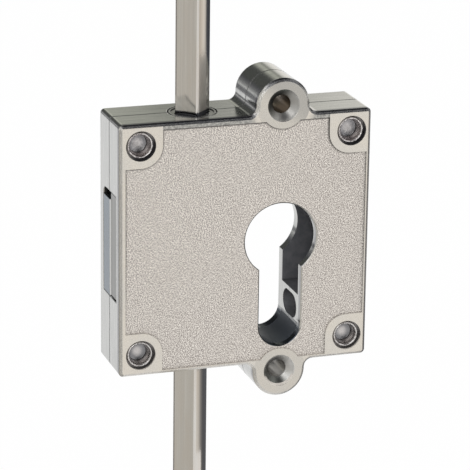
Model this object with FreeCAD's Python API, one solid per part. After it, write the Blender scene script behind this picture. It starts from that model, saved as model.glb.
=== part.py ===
import FreeCAD, Part
import math
import os

# Espagnolette lock: a case of two cast shells for a profile cylinder, a square rod that
# turns a quarter turn, and a bolt whose rack turns the rod. Sizes are in millimetres.
# +Z is up, +Y points to the mounting face, and the origin is on the cylinder's axis there.

# Case
case_left = 38.5               # from the cylinder's axis to the side that the bolt leaves
case_right = 21.25
case_depth = 16.0
seam_depth = 8.5               # from the front face to the joint between the shells
wall = 2.4
case_corner_radius = 1.0
front_edge_chamfer = 0.7
seam_chamfer = 0.12
cavity_corner_radius = 1.5

# Front face: a grained field, lower than its border, its corner pads and its lug rings
field_depth = 0.3
border_left = 1.4
border_right = 1.0
border_top = 1.5
border_bottom = 0.9
pad_width = 10.1
pad_height = 10.2
pad_radius = 5.0
lug_ring_radius = 5.4

# Fixing lugs
lug_rise = 2.05                # from the case's edge to the lug's hole
lug_radius = 6.3
lug_fillet_radius = 2.0
lug_hole_radius = 2.1
lug_sink_radius = 3.8

# Case rivets
rivet_inset = 5.0              # from the left, top and bottom
rivet_inset_right = 4.75
rivet_radius = 2.6
rivet_cup_radius = 2.1
rivet_cup_depth = 3.3          # from the front face
rivet_crest_radius = 2.7       # of the edge of the rolled lip
rivet_crest_depth = 0.6        # from the front face
rivet_roll = 0.5               # from the edge of the lip in to the cup
rivet_lip_radius = 3.15
rivet_sink_radius = 3.5
rivet_sink_depth = 1.55
rivet_boss_radius = 3.7
rivet_hole_clearance = 0.05

# Opening for the profile cylinder
cylinder_radius = 8.65
slot_width = 10.15
opening_height = 34.5
opening_chamfer = 0.3
cam_reach = 15.3               # the cylinder's cam sweeps this radius
cam_clearance = 0.6
slot_wall = 2.4
slot_wall_top = -14.5
screw_passage_z = -18.35
screw_passage_width = 9.4
screw_passage_height = 5.8
screw_passage_wall = 1.8

# Square rod and its two nuts
rod_x = -19.2
rod_square = 6.0
rod_edge_radius = 0.5
rod_length = 150.0
rod_end_chamfer = 0.4
nut_square_gap = 0.15
nut_mouth_radius = 4.65
nut_mouth_depth = 0.9
journal_radius = 5.68
journal_gap = 0.07
journal_chamfer = 0.3          # on the nuts, in the case's faces
flange_gap = 0.25
nut_end_gap = 0.15
lower_flange_height = 5.5

# Pinion and rack: a quarter turn moves the bolt by a quarter of the pitch circle
pinion_teeth = 12
pitch_radius = 5.2
pressure_angle = math.radians(20.0)
pinion_tip = 0.8               # above the pitch circle
pinion_root = 0.55             # below the pitch circle
rack_tip = 0.4                 # the rack's bars reach this far inside the pitch circle
backlash = 0.24
tooth_height = 4.7
window_gap = 0.2
window_rail = 0.7

# Bolt
opening_half_height = 12.55
opening_front_step = 0.35      # from the cavity's front wall to the bolt opening
opening_rear_step = 0.1
opening_round = 2.0
head_thickness = 5.35
head_top = 10.5
head_bottom = -12.4
block_half_height = 12.2
block_recess = 0.2
head_chamfer = 0.5             # along the head's edge towards the block
bolt_tail_x = -24.3
slide_gap = 0.25
bolt_split_gap = 0.12
plate_thickness = 1.7
plate_left = -29.2
plate_tail_right = -16.6
plate_tail_half_height = 11.0
band_left = -24.8
band_height = 4.8
plate_gap = 0.2
rib_thickness = 1.3
rib_right = -25.6

# Drive dog: the cam turns into its notch and pushes one of its prongs
notch_half_width = 5.5
prong_width = 2.3
dog_height = 6.5               # above the notch
dog_thickness = 5.6

# Tumbler: a plate that drops over the dog's stump and is lifted by the cam
tumbler_drop = 1.6
tumbler_thickness = 2.2
tumbler_half_width = 10.8
tumbler_lower_bar = 2.55
tumbler_upper_bar = 1.4
tumbler_gap = 0.4              # to the dog behind it
tumbler_cam_gap = 0.15
stump_radius = 1.2
stump_depth = 2.0
gate_gap = 0.2
tumbler_pin_x = 8.2
tumbler_pin_radius = 1.0
tumbler_pin_shoulder = 1.6
tumbler_pin_depth = 1.4
pin_slot_gap = 0.15
spring_thickness = 0.4
spring_room = 3.55             # from the tumbler to the top wall
spring_half_span = 7.0
spring_seat_gap = 0.03
spring_stop_gap = 0.2
spring_stop_height = 1.2
spring_stop_thickness = 1.2

# Small rivets of the bolt
small_rivet_radius = 1.0
nose_rivet_z = 7.0
nose_rivet_inset = 2.4
dog_rivet_offset = 5.3
dog_rivet_rise = 2.5           # above the notch

# Places that follow from the sizes above, from the cam's reach upwards
stump_room = stump_radius + gate_gap
dog_roof = cam_reach + cam_clearance
dog_top = dog_roof + dog_height
plate_top = dog_roof + band_height
tooth_top = plate_top - window_rail - window_gap
tumbler_bottom = cam_reach + tumbler_cam_gap
stump_z = tumbler_bottom + tumbler_lower_bar + stump_room
tumbler_top = stump_z + stump_room + tumbler_drop + tumbler_upper_bar
case_half_height = tumbler_top + spring_room + wall
lug_z = case_half_height + lug_rise

# Places that follow from the sizes above, from front to back and across
front_y = -case_depth
mid_y = -case_depth / 2
seam_y = front_y + seam_depth
field_y = front_y + field_depth
cavity_front = front_y + wall
cavity_rear = -wall
cavity_left = wall - case_left
cavity_right = case_right - wall
cavity_top = case_half_height - wall
opening_bottom = cylinder_radius - opening_height
travel = pitch_radius * math.pi / 2
pitch = 2 * math.pi * pitch_radius / pinion_teeth
tip_radius = pitch_radius + pinion_tip
root_radius = pitch_radius - pinion_root
pocket_radius = tip_radius + flange_gap
plate_front = mid_y + pitch_radius - rack_tip
plate_rear = plate_front + plate_thickness
dog_centre = travel / 2
dog_half_width = notch_half_width + prong_width
dog_left = dog_centre - dog_half_width
dog_right = dog_centre + dog_half_width
dog_front = plate_front - dog_thickness
prong_bottom = math.sqrt(cam_reach ** 2 - (notch_half_width + travel / 2) ** 2)
tumbler_rear = dog_front - tumbler_gap
tumbler_front = tumbler_rear - tumbler_thickness
head_front = cavity_rear - opening_rear_step - slide_gap - head_thickness
rivet_places = {
    "upper_left": (rivet_inset - case_left, case_half_height - rivet_inset),
    "upper_right": (case_right - rivet_inset_right, case_half_height - rivet_inset),
    "lower_left": (rivet_inset - case_left, rivet_inset - case_half_height),
    "lower_right": (case_right - rivet_inset_right, rivet_inset - case_half_height),
}
overrun = 1.0                  # how far a cut runs past the face that it opens
near = 0.001                   # points closer than this are the same


def vector(x, y, z):
    return FreeCAD.Vector(x, y, z)


def box(x0, x1, y0, y1, z0, z1):
    return Part.makeBox(x1 - x0, y1 - y0, z1 - z0, vector(x0, y0, z0))


def bar_y(x, z, radius, y0, y1):
    return Part.makeCylinder(radius, y1 - y0, vector(x, y0, z), vector(0, 1, 0))


def bar_z(x, y, radius, z0, z1):
    return Part.makeCylinder(radius, z1 - z0, vector(x, y, z0), vector(0, 0, 1))


def line(start, end):
    return Part.LineSegment(start, end).toShape()


def arc(start, middle, end):
    return Part.Arc(start, middle, end).toShape()


def slab(edges, y0, y1):
    """Extrude a closed outline, drawn in the XZ plane at Y = 0, from y0 to y1."""
    face = Part.Face(Part.Wire(Part.sortEdges(edges)[0]))
    solid = face.extrude(vector(0, y1 - y0, 0))
    solid.translate(vector(0, y0, 0))
    return solid


def edges_where(shape, test):
    """The shape's edges whose every vertex, and centre, passes the test."""
    found = []
    for edge in shape.Edges:
        points = [vertex.Point for vertex in edge.Vertexes] + [edge.CenterOfMass]
        if all(test(point) for point in points):
            found.append(edge)
    return found


def edges_along(shape, axis):
    """The shape's straight edges that run along an axis."""
    return [edge for edge in shape.Edges
            if abs(edge.tangentAt(edge.FirstParameter).dot(axis)) > 1 - near]


def lug(side):
    """A fixing lug of the case, with its two fillets; side is 1 at the top, -1 below."""
    centre_z = side * lug_z
    edge_z = side * case_half_height
    fillet_z = edge_z + side * lug_fillet_radius
    reach = lug_radius + lug_fillet_radius
    fillet_x = math.sqrt(reach ** 2 - (fillet_z - centre_z) ** 2)
    touch_x = fillet_x * lug_radius / reach
    touch_z = centre_z + (fillet_z - centre_z) * lug_radius / reach
    root_z = edge_z - side * wall
    edges = [arc(vector(-touch_x, 0, touch_z), vector(0, 0, centre_z + side * lug_radius),
                 vector(touch_x, 0, touch_z))]
    for hand in (-1, 1):
        fillet_centre = vector(hand * fillet_x, 0, fillet_z)
        touch = vector(hand * touch_x, 0, touch_z)
        foot = vector(hand * fillet_x, 0, edge_z)
        half_way = (touch - fillet_centre).normalize() + (foot - fillet_centre).normalize()
        middle = fillet_centre + half_way.normalize() * lug_fillet_radius
        edges.append(arc(touch, middle, foot))
        edges.append(line(foot, vector(hand * fillet_x, 0, root_z)))
    edges.append(line(vector(-fillet_x, 0, root_z), vector(fillet_x, 0, root_z)))
    return slab(edges, front_y, 0)


def case_block():
    """The case as one solid block, with its lugs and bevelled front edge."""
    block = box(-case_left, case_right, front_y, 0, -case_half_height, case_half_height)
    block = block.makeFillet(case_corner_radius, edges_along(block, vector(0, 1, 0)))
    block = block.fuse([lug(1), lug(-1)]).removeSplitter()
    front_edges = edges_where(block, lambda point: abs(point.y - front_y) < near)
    return block.makeChamfer(front_edge_chamfer, front_edges)


def corner_pad(corner_x, corner_z, inward_x, inward_z):
    """A smooth pad of the front face, round where it faces the field's middle."""
    x_ends = sorted((corner_x, corner_x + inward_x * pad_width))
    z_ends = sorted((corner_z, corner_z + inward_z * pad_height))
    pad = box(x_ends[0], x_ends[1], front_y - overrun, 0, z_ends[0], z_ends[1])
    inner_x = corner_x + inward_x * pad_width
    inner_z = corner_z + inward_z * pad_height
    inner = edges_where(pad, lambda point: abs(point.x - inner_x) < near
                        and abs(point.z - inner_z) < near)
    return pad.makeFillet(pad_radius, inner)


def field_pocket():
    """What is cast away from the front face to leave its raised border, pads and rings."""
    pocket = box(border_left - case_left, case_right - border_right, front_y - overrun, field_y,
                 border_bottom - case_half_height, case_half_height - border_top)
    raised = []
    for corner_x, inward_x in ((-case_left, 1), (case_right, -1)):
        for corner_z, inward_z in ((-case_half_height, 1), (case_half_height, -1)):
            raised.append(corner_pad(corner_x, corner_z, inward_x, inward_z))
    for side in (-1, 1):
        raised.append(bar_y(0, side * lug_z, lug_ring_radius, front_y - overrun, 0))
    return pocket.cut(raised)


def keyhole(grow, y0, y1):
    """The profile cylinder's outline, grown all round and extruded from y0 to y1."""
    bottom_centre = opening_bottom + slot_width / 2
    half_width = slot_width / 2 + grow
    return bar_y(0, 0, cylinder_radius + grow, y0, y1).fuse([
        box(-half_width, half_width, y0, y1, bottom_centre, 0),
        bar_y(0, bottom_centre, half_width, y0, y1)])


def screw_passage(grow, x0, x1):
    """The obround way of the cylinder's fixing screw, along X."""
    radius = screw_passage_height / 2 + grow
    offset = (screw_passage_width - screw_passage_height) / 2
    shapes = [box(x0, x1, mid_y - offset, mid_y + offset,
                  screw_passage_z - radius, screw_passage_z + radius)]
    for hand in (-1, 1):
        shapes.append(Part.makeCylinder(radius, x1 - x0, vector(x0, mid_y + hand * offset,
                                                                screw_passage_z), vector(1, 0, 0)))
    return shapes[0].fuse(shapes[1:])


def cavity():
    """The room inside the case, with the rivet bosses and the slot's own walls left standing."""
    room = box(cavity_left, cavity_right, cavity_front, cavity_rear, -cavity_top, cavity_top)
    room = room.makeFillet(cavity_corner_radius, edges_along(room, vector(0, 1, 0)))
    standing = [bar_y(x, z, rivet_boss_radius, front_y, 0) for x, z in rivet_places.values()]
    low = box(-case_left, case_right, front_y, 0, -case_half_height, slot_wall_top)
    standing.append(keyhole(slot_wall, front_y, 0).common(low))
    tube_half = screw_passage_height / 2 + screw_passage_wall
    standing.append(box(0, case_right, front_y, 0, screw_passage_z - tube_half,
                        min(screw_passage_z + tube_half, slot_wall_top)))
    return room.cut(standing)


def nut_pockets():
    """Round pockets for the nuts' flanges and teeth, and holes for their journals."""
    hole_radius = journal_radius + journal_gap
    tooth_bottom = tooth_top - tooth_height
    return [
        bar_z(rod_x, mid_y, pocket_radius, tooth_bottom - flange_gap, cavity_top),
        bar_z(rod_x, mid_y, hole_radius, cavity_top, case_half_height + overrun),
        bar_z(rod_x, mid_y, pocket_radius, -cavity_top,
              -cavity_top + nut_end_gap + lower_flange_height + flange_gap),
        bar_z(rod_x, mid_y, hole_radius, -case_half_height - overrun, -cavity_top),
    ]


def plate_channel():
    """The channel in the rear wall that the rack plate slides in."""
    rear = plate_rear + plate_gap
    tail_top = plate_tail_half_height + plate_gap
    return [
        box(plate_left - travel - plate_gap, plate_tail_right + plate_gap, mid_y, rear,
            -tail_top, tail_top),
        box(band_left - travel - plate_gap, dog_right + plate_gap, mid_y, rear,
            plate_tail_half_height - plate_gap, plate_top + plate_gap),
        box(dog_left - travel - plate_gap, dog_right + plate_gap, mid_y, plate_front + plate_gap,
            prong_bottom - plate_gap, dog_top + plate_gap),
    ]


def bolt_opening():
    """The way out for the bolt, with one rounded corner."""
    rear = cavity_rear - opening_rear_step
    way = box(-case_left - overrun, cavity_left, cavity_front + opening_front_step, rear,
              -opening_half_height, opening_half_height)
    corner = edges_where(way, lambda point: abs(point.y - rear) < near
                         and abs(point.z - opening_half_height) < near)
    return way.makeFillet(opening_round, corner)


def rivet_holes():
    """Holes for the case rivets, bored wider and flat in front for the rolled lip."""
    cuts = []
    for x, z in rivet_places.values():
        cuts.append(bar_y(x, z, rivet_radius + rivet_hole_clearance, front_y, overrun))
        cuts.append(bar_y(x, z, rivet_sink_radius, front_y - overrun, front_y + rivet_sink_depth))
    return cuts


def lug_holes():
    """The fixing screws' holes, countersunk from the front."""
    cuts = []
    sink_depth = lug_sink_radius - lug_hole_radius
    for side in (-1, 1):
        z = side * lug_z
        cuts.append(bar_y(0, z, lug_hole_radius, front_y - overrun, overrun))
        cuts.append(Part.makeCone(lug_sink_radius + overrun, lug_hole_radius, sink_depth + overrun,
                                  vector(0, front_y - overrun, z), vector(0, 1, 0)))
    return cuts


def front_details():
    """Ribs that guide the bolt's block, and stops that hold the tumbler's spring."""
    solids = []
    stop_x = spring_half_span + spring_thickness + spring_stop_gap
    for side in (-1, 1):
        z_ends = sorted((side * (block_half_height + plate_gap),
                         side * (block_half_height + plate_gap + rib_thickness)))
        solids.append(box(cavity_left, rib_right, cavity_front, head_front - slide_gap,
                          z_ends[0], z_ends[1]))
        x_ends = sorted((side * stop_x, side * (stop_x + spring_stop_thickness)))
        solids.append(box(x_ends[0], x_ends[1], cavity_front, tumbler_rear,
                          cavity_top - spring_stop_height, cavity_top))
    return solids


def rear_details():
    """The rib that carries the bolt's head."""
    rib_top = head_bottom - plate_gap
    return [box(cavity_left, rib_right, seam_y, cavity_rear, rib_top - rib_thickness, rib_top)]


def tumbler_pin_sockets():
    return [bar_y(side * tumbler_pin_x, stump_z, tumbler_pin_radius,
                  cavity_front - tumbler_pin_depth, cavity_front) for side in (-1, 1)]


def seam_edges(shell):
    """The shell's outer edges at the seam, apart from those at the bolt's opening."""
    x0, x1 = near - case_left, case_right - near
    z1 = case_half_height - near
    mid_lug = (lug_hole_radius + lug_radius) / 2

    def outside(point):
        round_lug = all(math.hypot(point.x, point.z - side * lug_z) > mid_lug for side in (-1, 1))
        return (abs(point.y - seam_y) < near and round_lug
                and not (x0 < point.x < x1 and -z1 < point.z < z1))
    return edges_where(shell, outside)


def shells():
    """The two cast shells, parted at the seam."""
    case = case_block().cut([cavity(), field_pocket()])
    case = case.cut(nut_pockets() + [bolt_opening()] + rivet_holes() + lug_holes())
    case = case.cut(keyhole(0, front_y - overrun, overrun))
    case = case.cut(screw_passage(0, 0, case_right + overrun))
    mouth = edges_where(case, lambda point: abs(point.y - field_y) < near
                        and abs(point.x) < cylinder_radius + near
                        and opening_bottom - near < point.z < cylinder_radius + near)
    case = case.makeChamfer(opening_chamfer, mouth)
    far = case_left + case_half_height
    front = case.common(box(-far, far, front_y - overrun, seam_y, -far, far))
    rear = case.common(box(-far, far, seam_y, overrun, -far, far))
    front = front.fuse(front_details()).cut(tumbler_pin_sockets()).removeSplitter()
    rear = rear.fuse(rear_details()).cut(plate_channel()).removeSplitter()
    return tuple(shell.makeChamfer(seam_chamfer, seam_edges(shell)) for shell in (front, rear))


def case_rivet(x, z):
    """A hollow rivet, flush at the back, with a lip rolled over at the front."""
    seat = front_y + rivet_sink_depth
    crest = front_y + rivet_crest_depth
    bottom = front_y + rivet_cup_depth
    corners = [vector(0, bottom, 0), vector(rivet_cup_radius, bottom, 0),
               vector(rivet_cup_radius, crest + rivet_roll, 0),
               vector(rivet_crest_radius, crest, 0), vector(rivet_lip_radius, seat, 0),
               vector(rivet_radius, seat, 0), vector(rivet_radius, 0, 0), vector(0, 0, 0)]
    face = Part.Face(Part.makePolygon(corners + [corners[0]]))
    solid = face.revolve(vector(0, 0, 0), vector(0, 1, 0), 360)
    solid.translate(vector(x, 0, z))
    return solid


def square_bar(side, edge_radius, z0, z1):
    """An upright square bar on the rod's axis, its corners towards the case's faces."""
    bar = box(-side / 2, side / 2, -side / 2, side / 2, z0, z1)
    bar = bar.makeFillet(edge_radius, edges_along(bar, vector(0, 0, 1)))
    bar.rotate(vector(0, 0, 0), vector(0, 0, 1), 45)
    bar.translate(vector(rod_x, mid_y, 0))
    return bar


def rod():
    bar = square_bar(rod_square, rod_edge_radius, -rod_length / 2, rod_length / 2)
    ends = edges_where(bar, lambda point: abs(abs(point.z) - rod_length / 2) < near)
    return bar.makeChamfer(rod_end_chamfer, ends)


def involute(radius):
    """Angle between an involute's start and where it crosses a radius."""
    base_radius = pitch_radius * math.cos(pressure_angle)
    slope = math.sqrt(max(0.0, (radius / base_radius) ** 2 - 1))
    return slope - math.atan(slope)


def tooth_half_angle(radius):
    half_at_pitch = (pitch / 2 - backlash / 2) / (2 * pitch_radius)
    return half_at_pitch + involute(pitch_radius) - involute(radius)


def polar(radius, angle, z):
    return vector(rod_x + radius * math.cos(angle), mid_y + radius * math.sin(angle), z)


def pinion_tooth(index, z0, z1):
    """One tooth, its flanks arcs through three points of the involute."""
    centre = math.pi / 2 + 2 * math.pi * index / pinion_teeth
    base_radius = pitch_radius * math.cos(pressure_angle)
    radii = [base_radius, (base_radius + tip_radius) / 2, tip_radius]
    sunk = root_radius - pinion_root / 2
    edges = []
    for hand in (-1, 1):
        flank = [polar(radius, centre + hand * tooth_half_angle(radius), z0) for radius in radii]
        edges.append(arc(flank[0], flank[1], flank[2]))
        edges.append(line(polar(sunk, centre + hand * tooth_half_angle(base_radius), z0), flank[0]))
    tip_angle = tooth_half_angle(tip_radius)
    edges.append(arc(polar(tip_radius, centre - tip_angle, z0), polar(tip_radius, centre, z0),
                     polar(tip_radius, centre + tip_angle, z0)))
    foot_angle = tooth_half_angle(base_radius)
    edges.append(line(polar(sunk, centre - foot_angle, z0), polar(sunk, centre + foot_angle, z0)))
    face = Part.Face(Part.Wire(Part.sortEdges(edges)[0]))
    return face.extrude(vector(0, 0, z1 - z0))


def nut_bore(z0, z1, mouth_z, mouth_side):
    """The nut's square hole, round and wider at its mouth in the case's face."""
    side = rod_square + 2 * nut_square_gap
    mouth_ends = sorted((mouth_z + mouth_side * overrun, mouth_z - mouth_side * nut_mouth_depth))
    return [square_bar(side, rod_edge_radius, z0 - overrun, z1 + overrun),
            bar_z(rod_x, mid_y, nut_mouth_radius, mouth_ends[0], mouth_ends[1])]


def journal(z0, z1, side):
    """A nut's journal, its outer edge bevelled; side is 1 at the top, -1 below."""
    body = bar_z(rod_x, mid_y, journal_radius, z0, z1)
    outer = z1 if side > 0 else z0
    rim = edges_where(body, lambda point: abs(point.z - outer) < near)
    return body.makeChamfer(journal_chamfer, rim)


def upper_nut():
    """The pinion's nut: teeth below, a flange above them and a journal in the top wall."""
    tooth_bottom = tooth_top - tooth_height
    flange_bottom = plate_top + plate_gap
    flange_top = cavity_top - nut_end_gap
    body = bar_z(rod_x, mid_y, root_radius, tooth_bottom, flange_bottom)
    teeth = [pinion_tooth(index, tooth_bottom, tooth_top) for index in range(pinion_teeth)]
    flange = bar_z(rod_x, mid_y, tip_radius, flange_bottom, flange_top)
    nut = body.fuse(teeth + [flange, journal(flange_top, case_half_height, 1)])
    return nut.cut(nut_bore(tooth_bottom, case_half_height, case_half_height, 1)).removeSplitter()


def lower_nut():
    """The plain nut that carries the rod in the bottom wall."""
    flange_bottom = nut_end_gap - cavity_top
    flange_top = flange_bottom + lower_flange_height
    flange = bar_z(rod_x, mid_y, tip_radius, flange_bottom, flange_top)
    nut = flange.fuse(journal(-case_half_height, flange_bottom, -1))
    return nut.cut(nut_bore(-case_half_height, flange_top, -case_half_height, -1))


def rack_window(index):
    """One tapered window of the rack; the pinion's teeth enter it from the front."""
    centre = rod_x + index * pitch
    half_at_pitch = (pitch - (pitch / 2 - backlash / 2)) / 2
    slope = math.tan(pressure_angle)
    front_half = half_at_pitch + slope * (rack_tip + overrun / 2)
    rear_half = half_at_pitch - slope * (plate_thickness - rack_tip)
    y_front = plate_front - overrun / 2
    bottom = tooth_top - tooth_height - window_gap
    top = tooth_top + window_gap
    corners = [vector(centre - front_half, y_front, bottom), vector(centre + front_half, y_front, bottom),
               vector(centre + rear_half, plate_rear, bottom), vector(centre - rear_half, plate_rear, bottom)]
    face = Part.Face(Part.makePolygon(corners + [corners[0]]))
    return face.extrude(vector(0, 0, top - bottom))


def rack_plate():
    """The plate behind the rod that joins the bolt's head to the drive dog."""
    tail = box(plate_left, plate_tail_right, plate_front, plate_rear,
               -plate_tail_half_height, plate_tail_half_height)
    band = box(band_left, dog_right, plate_front, plate_rear, plate_tail_half_height, plate_top)
    sweep = [bar_y(0, 0, dog_roof, plate_front, plate_rear),
             bar_y(travel, 0, dog_roof, plate_front, plate_rear),
             box(0, travel, plate_front, plate_rear, -dog_roof, dog_roof)]
    plate = tail.fuse(band.cut(sweep)).removeSplitter()
    windows = [rack_window(index) for index in range(-1, 5)]
    holes = [bar_y(x, z, small_rivet_radius, plate_front, plate_rear)
             for x, z in nose_rivet_places() + dog_rivet_places()]
    return plate.cut(windows + holes)


def nose_rivet_places():
    return [(plate_left + nose_rivet_inset, side * nose_rivet_z) for side in (1, -1)]


def dog_rivet_places():
    return [(dog_centre + side * dog_rivet_offset, dog_roof + dog_rivet_rise) for side in (-1, 1)]


def small_rivet(x, z, front):
    """A rivet ground flush with the back of the rack plate."""
    return bar_y(x, z, small_rivet_radius, front, plate_rear)


def block_front():
    return cavity_front + opening_front_step + slide_gap / 2


def bolt_head():
    """The steel half of the bolt's nose, flush with the case's side at rest."""
    rear = head_front + head_thickness
    head = box(-case_left, bolt_tail_x, head_front, rear, head_bottom, head_top)
    nose_edge = edges_where(head, lambda point: abs(point.x + case_left) < near
                            and abs(point.y - head_front) < near)
    head = head.makeChamfer(head_chamfer, nose_edge)
    seat = box(plate_left - bolt_split_gap, bolt_tail_x, plate_front, rear + overrun,
               head_bottom, head_top)
    holes = [bar_y(x, z, small_rivet_radius, head_front, rear) for x, z in nose_rivet_places()]
    return head.cut([seat] + holes)


def bolt_block():
    """The cast half of the nose, set back from the head's end."""
    front = block_front()
    rear = head_front - bolt_split_gap
    block = box(block_recess - case_left, bolt_tail_x, front, rear,
                -block_half_height, block_half_height)
    holes = [bar_y(x, z, small_rivet_radius, front, rear) for x, z in nose_rivet_places()]
    return block.cut(holes)


def drive_dog():
    """The cast block above the cylinder, with the notch that the cam pushes in."""
    dog = box(dog_left, dog_right, dog_front, plate_front, prong_bottom, dog_top)
    notch = box(dog_centre - notch_half_width, dog_centre + notch_half_width,
                dog_front, plate_front, prong_bottom, dog_roof)
    holes = [bar_y(x, z, small_rivet_radius, dog_front, plate_front) for x, z in dog_rivet_places()]
    socket = bar_y(dog_centre, stump_z, stump_radius, dog_front, dog_front + stump_depth)
    return dog.cut([notch, socket] + holes)


def stump_pin():
    return bar_y(dog_centre, stump_z, stump_radius, tumbler_front - tumbler_gap,
                 dog_front + stump_depth)


def tumbler():
    """The tumbler, lifted: the stump runs in its gate, and drops into a pocket at each end."""
    plate = box(-tumbler_half_width, tumbler_half_width, tumbler_front, tumbler_rear,
                tumbler_bottom, tumbler_top)
    gate = box(-travel / 2 - stump_room, travel / 2 + stump_room, tumbler_front, tumbler_rear,
               stump_z - stump_room, stump_z + stump_room)
    cuts = [gate]
    pin_room = tumbler_pin_radius + pin_slot_gap
    for side in (-1, 1):
        pocket_x = side * travel / 2
        cuts.append(box(pocket_x - stump_room, pocket_x + stump_room, tumbler_front, tumbler_rear,
                        stump_z - stump_room, stump_z + stump_room + tumbler_drop))
        x = side * tumbler_pin_x
        cuts.append(box(x - pin_room, x + pin_room, tumbler_front, tumbler_rear,
                        stump_z, stump_z + tumbler_drop))
        cuts.append(bar_y(x, stump_z, pin_room, tumbler_front, tumbler_rear))
        cuts.append(bar_y(x, stump_z + tumbler_drop, pin_room, tumbler_front, tumbler_rear))
    return plate.cut(cuts)


def tumbler_pin(side):
    """A shouldered pin, pressed into the front shell, that the tumbler slides on."""
    x = side * tumbler_pin_x
    shoulder_end = tumbler_front - pin_slot_gap
    return bar_y(x, stump_z, tumbler_pin_radius, cavity_front - tumbler_pin_depth,
                 dog_front - pin_slot_gap).fuse(
        bar_y(x, stump_z, tumbler_pin_shoulder, cavity_front, shoulder_end)).removeSplitter()


def tumbler_spring():
    """A bowed leaf between the top wall and the tumbler."""
    low = tumbler_top + spring_seat_gap
    high = cavity_top - spring_seat_gap
    rise = high - low - spring_thickness
    inner_radius = (spring_half_span ** 2 + rise ** 2) / (2 * rise)
    centre_z = low + spring_thickness + inner_radius
    outer_radius = inner_radius + spring_thickness
    half_angle = math.asin(spring_half_span / inner_radius)
    edges = []
    ends = []
    for radius in (inner_radius, outer_radius):
        tips = [vector(hand * radius * math.sin(half_angle), 0,
                       centre_z - radius * math.cos(half_angle)) for hand in (-1, 1)]
        edges.append(arc(tips[0], vector(0, 0, centre_z - radius), tips[1]))
        ends.append(tips)
    edges.append(line(ends[0][0], ends[1][0]))
    edges.append(line(ends[0][1], ends[1][1]))
    return slab(edges, tumbler_front, tumbler_rear)


def build_nodes():
    """Every piece by its node's name."""
    nodes = {}
    nodes["front_shell"], nodes["rear_shell"] = shells()
    for place, (x, z) in rivet_places.items():
        nodes["case_rivet_" + place] = case_rivet(x, z)
    nodes["rod"] = rod()
    nodes["upper_nut"] = upper_nut()
    nodes["lower_nut"] = lower_nut()
    nodes["bolt_head"] = bolt_head()
    nodes["bolt_block"] = bolt_block()
    nodes["rack_plate"] = rack_plate()
    nodes["drive_dog"] = drive_dog()
    nodes["stump_pin"] = stump_pin()
    for name, (x, z) in zip(("upper", "lower"), nose_rivet_places()):
        nodes["nose_rivet_" + name] = small_rivet(x, z, block_front())
    for name, (x, z) in zip(("left", "right"), dog_rivet_places()):
        nodes["dog_rivet_" + name] = small_rivet(x, z, dog_front)
    nodes["tumbler"] = tumbler()
    for name, side in (("left", -1), ("right", 1)):
        nodes["tumbler_pin_" + name] = tumbler_pin(side)
    nodes["tumbler_spring"] = tumbler_spring()
    return nodes


os.makedirs("parts", exist_ok=True)
for name, shape in build_nodes().items():
    shape.exportStep("parts/" + name + ".step")
    print(name, len(shape.Solids), shape.isValid(), round(shape.Volume, 1))
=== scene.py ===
import math
import random

import bmesh
import bpy
from mathutils import Matrix, Vector


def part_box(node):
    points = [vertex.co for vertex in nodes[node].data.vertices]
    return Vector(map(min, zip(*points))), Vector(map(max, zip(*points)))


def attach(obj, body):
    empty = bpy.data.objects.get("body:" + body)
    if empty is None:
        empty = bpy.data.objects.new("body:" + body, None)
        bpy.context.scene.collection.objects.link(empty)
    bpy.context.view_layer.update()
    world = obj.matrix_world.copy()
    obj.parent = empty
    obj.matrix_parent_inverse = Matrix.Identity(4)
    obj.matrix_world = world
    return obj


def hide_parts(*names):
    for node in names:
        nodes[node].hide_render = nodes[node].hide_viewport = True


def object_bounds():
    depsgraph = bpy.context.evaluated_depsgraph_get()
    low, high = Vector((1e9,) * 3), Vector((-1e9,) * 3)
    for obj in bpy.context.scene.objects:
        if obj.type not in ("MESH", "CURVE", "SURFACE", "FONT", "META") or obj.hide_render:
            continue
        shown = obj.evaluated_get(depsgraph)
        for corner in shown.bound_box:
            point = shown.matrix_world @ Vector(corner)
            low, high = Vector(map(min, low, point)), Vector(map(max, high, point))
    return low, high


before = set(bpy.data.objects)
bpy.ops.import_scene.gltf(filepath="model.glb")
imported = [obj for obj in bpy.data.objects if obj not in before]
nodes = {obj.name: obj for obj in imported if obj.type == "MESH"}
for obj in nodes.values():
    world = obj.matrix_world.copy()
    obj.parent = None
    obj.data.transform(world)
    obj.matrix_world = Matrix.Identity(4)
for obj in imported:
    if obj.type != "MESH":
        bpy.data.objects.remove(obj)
cad_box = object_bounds()
scene = bpy.context.scene
scene.view_settings.view_transform = "Standard"
MM = 0.001

# Camera, as fitted to the photograph: an orbit round a point of the front face
CAMERA_AIM = Vector((-11.2404, -16.0, 2.1677)) * MM
CAMERA_AZIMUTH = math.radians(18.2718)
CAMERA_ELEVATION = math.radians(17.5908)
CAMERA_ROLL = math.radians(0.7341)
CAMERA_DISTANCE = 615.3129 * MM
CAMERA_LENS = 207.12
CAMERA_SENSOR = 36.0
CAMERA_CLIP = (0.02, 50.0)

# Sizes and places on the case, in millimetres, that the looks depend on
WELL_RADIUS = 3.52             # of the hollow round each case rivet
WELL_END = -13.0               # y, past its floor
LUG_RADIUS = 6.3
SINK_RADIUS = 3.86             # of the lugs' countersinks
BORE_START = -14.35            # y, where a countersink ends and its hole starts
FACE = 0.02                    # behind the front face, and no longer part of it
FIELD_Y = (-15.9, -15.6)       # round the sunk field of the front
BORDER_TOP = 1.5               # width of the border above the field
CHAMFER_WIDTH = 0.75           # of the case's outer edge
EDGE_WIDTH = 0.8               # of the same edge, chamfer and all
PAD_WIDTH = 10.1               # of the corners' pads
HOLLOW_X = (-36.2, 19.2)       # the inside of the case
HOLLOW_Y = (-13.62, -2.38)
HOLLOW_HEIGHT = 27.4
SLOT_HALF = 5.2                # half the width of the opening's slot
SLOT_END_Z = (-26.2, -14.45)   # its low round end

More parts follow.
